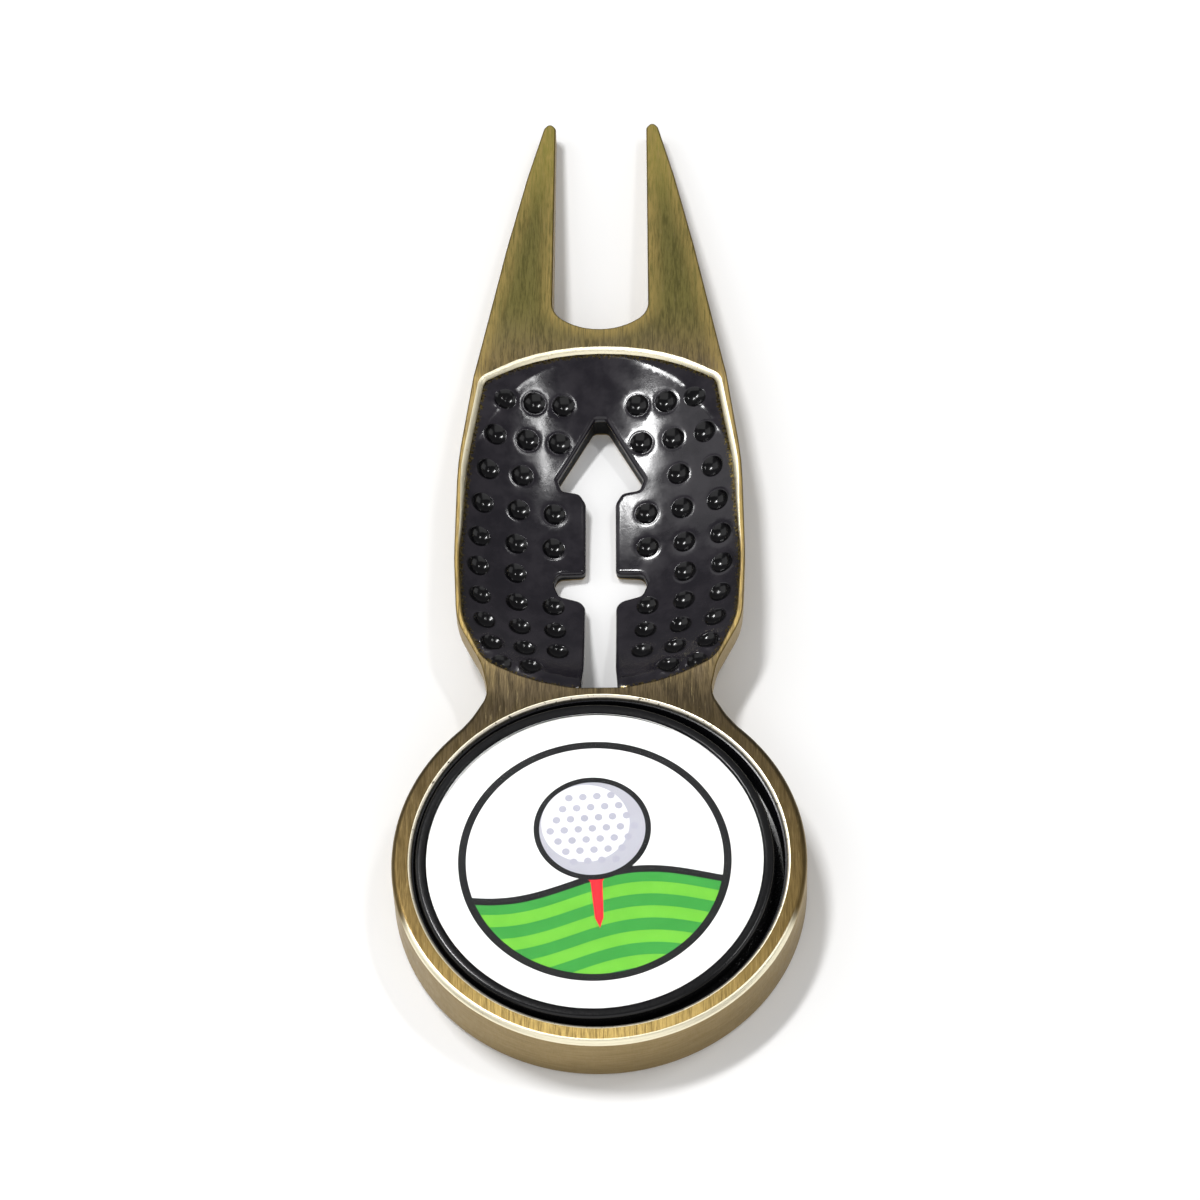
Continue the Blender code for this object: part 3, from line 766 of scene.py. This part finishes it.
def brass_material():
    material, n, shader = new_material("antique_brass")
    y = n.axis(n.mm, "Y")
    up = n.axis(n.normal(), "Z")
    fine = n.noise((11.0, 0.9, 2.0), 3.0, 0.65)
    broad = n.noise((2.6, 0.28, 1.0), 3.0, 0.6, shift=7.0)
    scratches = n.noise((8.0, 0.5, 1.5), 4.0, 0.7, shift=17.0)
    patches = n.noise((0.35, 0.22, 0.5), 3.0, 0.6, shift=3.0)
    streaks = n.math('ADD', n.math('MULTIPLY', fine, 0.55), n.math('MULTIPLY', broad, 0.45))
    streak_mask = n.range(streaks, 0.38, 0.63)
    dark = n.mix(n.range(patches, 0.35, 0.65), rgb(0.120, 0.092, 0.048), rgb(0.160, 0.122, 0.074))
    light = n.mix(n.range(patches, 0.4, 0.7), rgb(0.400, 0.295, 0.135), rgb(0.390, 0.295, 0.165))
    face = n.mix(streak_mask, dark, light)
    # olive along the prongs, yellow-green at the tips
    face = n.mix(n.range(y, 15.0, 23.0), face,
                 n.mix(streak_mask, rgb(0.125, 0.112, 0.036), rgb(0.300, 0.262, 0.085)))
    face = n.mix(n.range(y, 29.0, 39.0), face,
                 n.mix(streak_mask, rgb(0.290, 0.265, 0.055), rgb(0.440, 0.400, 0.105)))
    # painted light and shade on the ring: warm gold toward its free end, near-black toward the neck
    ring = n.range(y, -8.0, -38.0)
    face = n.mix(n.range(y, -6.0, -14.0), face,
                 n.mix(ring, n.mix(streak_mask, rgb(0.024, 0.019, 0.013), rgb(0.048, 0.038, 0.027)),
                       n.mix(n.range(streaks, 0.3, 0.7), rgb(0.108, 0.071, 0.024),
                             rgb(0.190, 0.128, 0.045))))
    # worn edges are golden, with a thin line of painted shade at the very edge
    near = n.attribute("near")
    worn = n.math('MULTIPLY', n.range(near, 1.5, 0.1), n.range(scratches, 0.35, 0.60, 0.15, 0.8))
    # less golden wear on the ring toward the neck, where it is painted in shade
    painted_shade_span = n.math('MULTIPLY', n.range(y, -44.0, -28.0), n.range(y, -5.0, -11.0))
    worn = n.math('MULTIPLY', worn, n.range(painted_shade_span, 0.0, 1.0, 0.9, 0.05))
    face = n.mix(worn, face, rgb(0.60, 0.435, 0.150))
    face = n.mix(n.math('MULTIPLY', n.range(scratches, 0.60, 0.72), 0.35), face, rgb(0.45, 0.36, 0.18))
    # painted shade: a thin dark line on the very edge
    face = n.mix(n.math('MULTIPLY', n.range(near, 0.16, 0.04), 0.8), face, rgb(0.075, 0.052, 0.016))
    cloud = n.noise((0.5, 0.5, 6.0), 3.0, 0.6, shift=11.0)
    wall = n.mix(n.range(cloud, 0.3, 0.7), rgb(0.285, 0.208, 0.090), rgb(0.350, 0.260, 0.122))
    colour = n.mix(n.range(up, 0.25, 0.75), wall, face)
    # polished edges with a painted cream highlight, and the pocket's edge painted pale as a highlight,
    # with its dark chips
    polish_and_highlight = n.attribute("edge")
    chips = n.noise((2.2, 2.2, 2.2), 4.0, 0.7, shift=5.0)
    cream_highlight = n.mix(n.range(chips, 0.25, 0.40), rgb(0.78, 0.62, 0.34), rgb(0.97, 0.90, 0.68))
    colour = n.mix(n.range(polish_and_highlight, 0.05, 0.45), colour, cream_highlight)
    pale_highlight = n.mix(n.range(chips, 0.34, 0.42), rgb(0.05, 0.04, 0.03), rgb(0.86, 0.80, 0.66))
    colour = n.mix(n.range(polish_and_highlight, 1.1, 1.9), colour, pale_highlight)
    n.link(shader.inputs["Base Color"], colour)
    shader.inputs["Metallic"].default_value = 1.0
    rough = n.math('ADD', n.range(streaks, 0.3, 0.7, 0.52, 0.38), n.range(polish_and_highlight, 0.1, 0.9, 0.0, -0.04))
    n.link(shader.inputs["Roughness"], rough)
    height = n.math('MULTIPLY', streaks, n.range(up, 0.3, 0.8))
    n.link(shader.inputs["Normal"], n.bump(height, 0.35, 0.00004))
    return material


def enamel_material():
    material, n, shader = new_material("black_enamel")
    cloud = n.noise((0.55, 0.55, 0.55), 4.0, 0.6)
    ripple = n.noise((1.7, 1.7, 1.7), 3.0, 0.6, shift=2.0)
    fine = n.noise((5.0, 5.0, 5.0), 3.0, 0.6, shift=4.0)
    black = n.mix(n.range(cloud, 0.35, 0.65), rgb(0.0110, 0.0096, 0.0135), rgb(0.0200, 0.0175, 0.0225))
    # the metal shows through in a ragged line along the rim
    rim = n.attribute("edge")
    mottle = n.noise((5.5, 5.5, 5.5), 4.0, 0.7, shift=9.0)
    ragged = n.math('SUBTRACT', n.range(mottle, 0.35, 0.70, 0.02, 0.42), rim)
    gold = n.range(ragged, -0.02, 0.10)
    metal = n.mix(n.range(fine, 0.35, 0.65), rgb(0.035, 0.024, 0.008), rgb(0.24, 0.18, 0.06))
    # painted shade: the dimples are darker and reflect less than the rest of the enamel
    pit_shade = n.attribute("pit_shade")
    black = n.mix(pit_shade, black, rgb(0.0015, 0.0013, 0.0020))
    n.link(shader.inputs["Base Color"], n.mix(gold, black, metal))
    n.link(shader.inputs["Metallic"], gold)
    n.link(shader.inputs["Roughness"], n.range(cloud, 0.3, 0.7, 0.13, 0.20))
    n.link(shader.inputs["Specular IOR Level"], n.range(pit_shade, 0.0, 1.0, 0.42, 0.36))
    wave = n.math('ADD', n.math('MULTIPLY', cloud, 1.6), n.math('MULTIPLY', ripple, 0.45))
    height = n.math('ADD', wave, n.math('MULTIPLY', fine, 0.10))
    n.link(shader.inputs["Normal"], n.bump(height, 0.6, 0.000009))
    return material


def slot_paint_and_shade_material():
    """Dull black paint on the walls of the slot, darker and less glossy than the enamel: partly painted
    shade.
    """
    material, n, shader = new_material("slot_enamel_and_shade")
    cloud = n.noise((1.5, 1.5, 1.5), 4.0, 0.6, shift=8.0)
    n.link(shader.inputs["Base Color"], n.mix(cloud, rgb(0.0015, 0.0015, 0.0018),
                                              rgb(0.0040, 0.0036, 0.0036)))
    n.link(shader.inputs["Roughness"], n.range(cloud, 0.3, 0.7, 0.5, 0.65))
    shader.inputs["Specular IOR Level"].default_value = 0.12
    return material


def gloss_black(name, colour, roughness):
    material, n, shader = new_material(name)
    cloud = n.noise((0.8, 0.8, 0.8), 4.0, 0.6, shift=2.0)
    fine = n.noise((9.0, 9.0, 9.0), 3.0, 0.6, shift=6.0)
    n.link(shader.inputs["Base Color"], n.mix(cloud, colour, rgb(*(c * 1.8 for c in colour[:3]))))
    n.link(shader.inputs["Roughness"], n.range(fine, 0.3, 0.7, roughness, roughness + 0.08))
    shader.inputs["Specular IOR Level"].default_value = 0.32
    n.link(shader.inputs["Normal"], n.bump(cloud, 0.3, 0.00003))
    return material


def print_material(name, colour, other):
    """Printed colour with a faint grain."""
    material, n, shader = new_material(name)
    grain = n.noise((14.0, 14.0, 14.0), 3.0, 0.6)
    cloud = n.noise((0.5, 0.5, 0.5), 2.0, 0.5, shift=3.0)
    share = n.math('ADD', n.math('MULTIPLY', n.range(grain, 0.3, 0.7), 0.5),
                   n.math('MULTIPLY', n.range(cloud, 0.3, 0.7), 0.5))
    n.link(shader.inputs["Base Color"], n.mix(share, colour, other))
    n.link(shader.inputs["Roughness"], n.range(grain, 0.3, 0.7, 0.42, 0.50))
    shader.inputs["Specular IOR Level"].default_value = 0.08
    n.link(shader.inputs["Normal"], n.bump(grain, 0.1, 0.00001))
    return material


def clear_material():
    """Clear resin with a faintly uneven gloss."""
    material, n, shader = new_material("clear_dome")
    shader.inputs["Base Color"].default_value = rgb(1.0, 1.0, 1.0)
    shader.inputs["Transmission Weight"].default_value = 1.0
    shader.inputs["IOR"].default_value = 1.48
    shader.inputs["Specular IOR Level"].default_value = 0.2
    cloud = n.noise((0.4, 0.4, 0.4), 3.0, 0.5)
    n.link(shader.inputs["Roughness"], n.range(cloud, 0.3, 0.7, 0.0, 0.03))
    return material


def nickel_material():
    material, n, shader = new_material("magnet_nickel")
    cloud = n.noise((1.2, 1.2, 1.2), 4.0, 0.65)
    scuffs = n.noise((9.0, 1.2, 3.0), 3.0, 0.6, shift=4.0)
    n.link(shader.inputs["Base Color"], n.mix(n.range(cloud, 0.3, 0.7), rgb(0.58, 0.57, 0.54),
                                              rgb(0.74, 0.73, 0.70)))
    shader.inputs["Metallic"].default_value = 1.0
    n.link(shader.inputs["Roughness"], n.range(scuffs, 0.3, 0.7, 0.16, 0.34))
    n.link(shader.inputs["Normal"], n.bump(scuffs, 0.2, 0.00002))
    return material


def floor_material():
    material, n, shader = new_material("floor")
    cloud = n.noise((0.01, 0.01, 0.01), 2.0, 0.5)
    n.link(shader.inputs["Base Color"], n.mix(cloud, rgb(0.94, 0.94, 0.94), rgb(0.96, 0.96, 0.96)))
    shader.inputs["Roughness"].default_value = 0.7
    return material


# ------------------------------------------------------------------ marker

COIN_SHIFT = (COIN_LOW.x + COIN_HIGH.x) / 2 / MM
COIN_RADIUS = (COIN_HIGH.x - COIN_LOW.x) / 2 / MM
COIN_BOTTOM = COIN_LOW.z / MM
COIN_RIM_Z = COIN_HIGH.z / MM
COIN_RIM_INNER = 11.78
COIN_RECESS_Z = 4.28
LABEL_LOW, LABEL_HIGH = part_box("marker_label")
LABEL_RADIUS = (LABEL_HIGH.x - LABEL_LOW.x) / 2 / MM
LABEL_BOTTOM = LABEL_LOW.z / MM
LABEL_TOP = LABEL_HIGH.z / MM
DOME_LOW, DOME_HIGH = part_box("marker_dome")
DOME_RADIUS = (DOME_HIGH.x - DOME_LOW.x) / 2 / MM
DOME_EDGE_Z = 4.72
DOME_CROWN_Z = DOME_HIGH.z / MM


def build_coin(material):
    outer, inner = 0.28, 0.12
    profile = [(0.0, COIN_RECESS_Z), (COIN_RIM_INNER, COIN_RECESS_Z)]
    profile += arc((COIN_RIM_INNER + inner, COIN_RIM_Z - inner), inner, 180.0, 90.0)
    profile += arc((COIN_RADIUS - outer, COIN_RIM_Z - outer), outer, 90.0, 0.0, 7)
    profile += arc((COIN_RADIUS - outer, COIN_BOTTOM + outer), outer, 0.0, -90.0, 5)
    profile += [(0.0, COIN_BOTTOM)]
    return turned("marker_coin_finished", profile, material, "marker", "coin_black", "marker_coin",
                  COIN_SHIFT)


def build_dome(material):
    profile = []
    steps = 24
    bulge = 0.16
    for step in range(steps + 1):
        share = step / steps
        height = DOME_CROWN_Z - (DOME_CROWN_Z - DOME_EDGE_Z - bulge) * share ** 3
        profile.append((share * (DOME_RADIUS - bulge), height))
    profile += arc((DOME_RADIUS - bulge, DOME_EDGE_Z), bulge, 80.0, 0.0, 6)
    profile += [(DOME_RADIUS, LABEL_TOP + 0.02), (0.0, LABEL_TOP + 0.02)]
    dome = turned("marker_dome_finished", profile, material, "marker", "clear_dome", "marker_dome",
                  COIN_SHIFT)
    dome.visible_shadow = False
    return dome


def ring_points(centre, radius, count=64):
    angles = np.radians(np.linspace(0.0, 360.0, count + 1))[:-1]
    return np.column_stack((centre[0] + radius * np.cos(angles), centre[1] + radius * np.sin(angles)))


def build_label(prints):
    """The label is one flat skin, its printed colours set face by face, last shape on top."""
    # each shape is (outline, colour, radius beyond which it isn't printed)
    badge = 9.5
    inner = badge - 0.55
    horizon_x = np.linspace(-badge, badge, 61)
    horizon = -1.9 + 0.9 * np.sin(horizon_x * 0.33 + 0.6)

    def band(low, high):
        return np.vstack((np.column_stack((horizon_x, horizon + low)),
                          np.column_stack((horizon_x[::-1], (horizon + high)[::-1]))))

    ball = (0.0, 2.5)
    ball_radius = 3.7
    shapes = [(ring_points((0, 0), badge, 128), "ink", None),
              (ring_points((0, 0), inner, 128), "paper", None)]
    shapes.append((band(-20.0, 0.0), "turf", inner))
    for index in range(4):
        low = -1.0 - index * 1.9
        shapes.append((band(low - 0.95, low), "stripe", inner))
    shapes.append((band(-0.25, 0.30), "ink", inner))
    shapes.append((np.array(((-0.95, -1.0), (0.95, -1.0), (0.42, -1.75), (0.30, -4.6), (0.0, -5.4),
                             (-0.30, -4.6), (-0.42, -1.75))), "tee", None))
    shapes.append((ring_points(ball, ball_radius + 0.40), "ink", None))
    shapes.append((ring_points(ball, ball_radius), "shade", None))
    shapes.append((ring_points((ball[0] - 0.45, ball[1] + 0.45), ball_radius - 0.62), "ball", None))
    pitch = 0.98
    for row in range(-4, 5):
        for column in range(-4, 5):
            x = (column + (0.5 if row % 2 else 0.0)) * pitch
            y = row * pitch * 0.87
            if math.hypot(x, y) < ball_radius - 0.45:
                shapes.append((ring_points((ball[0] + x, ball[1] + y), 0.27, 16), "dimple", None))
    names = ("paper", "ink", "turf", "stripe", "tee", "ball", "shade", "dimple")

    tilt = math.radians(4.0)
    turn = np.array(((math.cos(tilt), math.sin(tilt)), (-math.sin(tilt), math.cos(tilt))))
    disc = ring_points((0, 0), LABEL_RADIUS, 192)
    coords, edges = [], []
    for loop in [disc] + [shape for shape, _, _ in shapes]:
        first = len(coords)
        coords.extend(Vector(p) for p in loop)
        edges.extend((first + i, first + (i + 1) % len(loop)) for i in range(len(loop)))
    verts, _, faces, _, _, _ = delaunay_2d_cdt(coords, edges, [], 0, 1e-5)
    flat = np.array([(p.x, p.y) for p in verts])
    centres = np.array([flat[list(f)].mean(0) for f in faces])
    paint = np.zeros(len(faces), int)
    for shape, colour, limit in shapes:
        covered = inside(shape, centres)
        if limit:
            covered &= np.linalg.norm(centres, axis=1) < limit
        paint[covered] = names.index(colour)
    keep = inside(disc, centres)
    faces = [f for f, kept in zip(faces, keep) if kept]
    paint = paint[keep]
    used = sorted({i for f in faces for i in f})
    number = {old: new for new, old in enumerate(used)}
    flat = flat[used] @ turn
    count = len(flat)
    points = [((x + COIN_SHIFT) * MM, (y + RING_Y) * MM, z * MM)
              for z in (LABEL_TOP, LABEL_BOTTOM) for x, y in flat]
    top, bottom = [], []
    for face in faces:
        face = [number[i] for i in face]
        if not turns_left(*(flat[i] for i in face[:3])):
            face = face[::-1]
        top.append(face)
        bottom.append([i + count for i in reversed(face)])
    sides = {}
    for face in top:
        for i, j in zip(face, face[1:] + face[:1]):
            if (j, i) in sides:
                del sides[(j, i)]
            else:
                sides[(i, j)] = True
    walls = [(j, i, i + count, j + count) for i, j in sides]
    mesh = bpy.data.meshes.new("marker_label_finished")
    mesh.from_pydata(points, [], top + bottom + walls)
    for name in names:
        mesh.materials.append(prints[name])
    mesh.polygons.foreach_set("material_index", list(paint) + [0] * (len(bottom) + len(walls)))
    return place("marker_label_finished", mesh, "marker", "label_white", "marker_label")


# ------------------------------------------------------------------ build

brass = brass_material()
enamel = enamel_material()
body = build_body(brass, slot_paint_and_shade_material())

# distance of every body vertex from the outline or the pocket's edge, for the wear along the edges and
# the painted shade line at the very edge
places = np.array([(p.co.x / MM, p.co.y / MM - RING_Y) for p in body.data.vertices])
near = np.minimum(distance_to(body_loop(), places),
                  np.abs(np.linalg.norm(places, axis=1) - POCKET_RADIUS))
near_attribute = body.data.attributes.new("near", 'FLOAT', 'POINT')
near_attribute.data.foreach_set("value", near)

build_enamel(enamel)

# the lining's last four points round its inner corner and its lip
turned("pocket_enamel_finished",
       [(LINING_OUTER, LINING_TOP_Z), (LINING_OUTER, LINING_LOW_Z), (SEAT_RADIUS, LINING_LOW_Z),
        (SEAT_RADIUS, LINING_FLOOR_Z), (LINING_INNER - 0.10, LINING_FLOOR_Z),
        (LINING_INNER - 0.03, LINING_FLOOR_Z + 0.03), (LINING_INNER, LINING_FLOOR_Z + 0.12),
        (LINING_INNER, LINING_TOP_Z - 0.08), (LINING_INNER + 0.03, LINING_TOP_Z - 0.02)],
       gloss_black("pocket_black", rgb(0.004, 0.004, 0.005), 0.22),
       "tool", "pocket_black", "pocket_enamel")

MAGNET_LOW, MAGNET_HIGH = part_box("pocket_magnet")
MAGNET_RADIUS = (MAGNET_HIGH.x - MAGNET_LOW.x) / 2 / MM
MAGNET_BASE, MAGNET_TOP = MAGNET_LOW.z / MM, MAGNET_HIGH.z / MM
turned("pocket_magnet_finished",
       [(0.0, MAGNET_TOP)]
       + arc((MAGNET_RADIUS - MAGNET_ROUND, MAGNET_TOP - MAGNET_ROUND), MAGNET_ROUND, 90.0, 0.0)
       + arc((MAGNET_RADIUS - MAGNET_ROUND, MAGNET_BASE + MAGNET_ROUND), MAGNET_ROUND, 0.0, -90.0)
       + [(0.0, MAGNET_BASE)],
       nickel_material(), "tool", "magnet_nickel", "pocket_magnet")

build_coin(gloss_black("coin_black", rgb(0.004, 0.004, 0.0045), 0.16))
build_label({
    "paper": print_material("label_white", rgb(0.70, 0.70, 0.685), rgb(0.74, 0.74, 0.725)),
    "ink": print_material("print_ink", rgb(0.003, 0.003, 0.0035), rgb(0.006, 0.006, 0.007)),
    "turf": print_material("print_turf", rgb(0.022, 0.200, 0.026), rgb(0.030, 0.235, 0.034)),
    "stripe": print_material("print_stripe", rgb(0.095, 0.340, 0.022), rgb(0.120, 0.380, 0.030)),
    "tee": print_material("print_tee", rgb(0.50, 0.010, 0.018), rgb(0.56, 0.014, 0.024)),
    "ball": print_material("print_ball", rgb(0.56, 0.56, 0.58), rgb(0.60, 0.60, 0.62)),
    "shade": print_material("print_shade", rgb(0.33, 0.33, 0.37), rgb(0.37, 0.37, 0.41)),
    "dimple": print_material("print_dimple", rgb(0.30, 0.30, 0.35), rgb(0.34, 0.34, 0.39)),
})
build_dome(clear_material())


# ------------------------------------------------------------------ camera, floor and light

# Camera angles in degrees, distance in metres, lens and sensor in millimetres. The target is (x, v, z)
# in millimetres.
CAMERA_TILT = 32.02
CAMERA_AZIMUTH = 2.39
CAMERA_ROLL = 2.74
CAMERA_DISTANCE = 0.400
CAMERA_TARGET = (-0.03, 22.89, 2.0)
SENSOR_WIDTH = 36.0
LENS = 166.71

# The lamps all point at the same spot: name, place and size in metres, power in watts
LAMP_TARGET = (0.0, -0.005, 0.0)
LAMPS = (
    ("key", (-0.195, 0.169, 0.60), (0.18, 0.055), 2.4),
    ("second", (0.250, 0.130, 0.585), (0.14, 0.035), 0.5),
    ("left", (-0.85, 0.10, 0.60), (0.9, 0.9), 2.2),
    ("front", (0.0, -0.75, 0.52), (1.3, 1.0), 3.7),
    ("right", (0.90, -0.10, 0.35), (0.6, 0.6), 1.1),
)
WORLD_STRENGTH = 0.22
FLOOR_HALF = 2.0


def build_camera():
    tilt, azimuth, roll = (math.radians(a) for a in (CAMERA_TILT, CAMERA_AZIMUTH, CAMERA_ROLL))
    target = Vector((CAMERA_TARGET[0] * MM, (CAMERA_TARGET[1] + RING_Y) * MM, CAMERA_TARGET[2] * MM))
    back = Vector((math.sin(azimuth) * math.sin(tilt), -math.cos(azimuth) * math.sin(tilt),
                   math.cos(tilt)))
    right = Vector((0.0, 0.0, 1.0)).cross(back).normalized()
    up = back.cross(right)
    cam_right = right * math.cos(roll) - up * math.sin(roll)
    cam_up = right * math.sin(roll) + up * math.cos(roll)
    data = bpy.data.cameras.new("camera")
    data.sensor_width = SENSOR_WIDTH
    data.lens = LENS
    data.clip_start = 0.01
    data.clip_end = 10.0
    camera = bpy.data.objects.new("camera", data)
    bpy.context.scene.collection.objects.link(camera)
    camera.matrix_world = Matrix((
        (cam_right.x, cam_up.x, back.x, 0.0), (cam_right.y, cam_up.y, back.y, 0.0),
        (cam_right.z, cam_up.z, back.z, 0.0), (0.0, 0.0, 0.0, 1.0)))
    camera.location = target + back * CAMERA_DISTANCE
    bpy.context.scene.camera = camera


def area_light(name, place_at, size, power):
    """A white rectangle of light that the label, seen through the dome, isn't lit by twice."""
    data = bpy.data.lights.new(name, 'AREA')
    data.shape = 'RECTANGLE'
    data.size, data.size_y = size
    data.energy = power
    light = bpy.data.objects.new(name, data)
    bpy.context.scene.collection.objects.link(light)
    light.visible_transmission = False
    light.location = place_at
    light.rotation_mode = 'QUATERNION'
    light.rotation_quaternion = (Vector(LAMP_TARGET) - Vector(place_at)).to_track_quat('-Z', 'Y')


def build_floor():
    mesh = bpy.data.meshes.new("floor")
    corners = [(x * FLOOR_HALF, y * FLOOR_HALF, 0.0) for x, y in ((-1, -1), (1, -1), (1, 1), (-1, 1))]
    mesh.from_pydata(corners, [], [(0, 1, 2, 3)])
    mesh.materials.append(floor_material())
    floor = bpy.data.objects.new("floor", mesh)
    bpy.context.scene.collection.objects.link(floor)


build_camera()
build_floor()
for lamp in LAMPS:
    area_light(*lamp)
world = bpy.data.worlds.new("studio")
world.use_nodes = True
background = world.node_tree.nodes["Background"]
background.inputs["Color"].default_value = rgb(1.0, 1.0, 1.0)
background.inputs["Strength"].default_value = WORLD_STRENGTH
world.cycles_visibility.transmission = False
bpy.context.scene.world = world
bpy.context.scene.view_settings.view_transform = 'Standard'
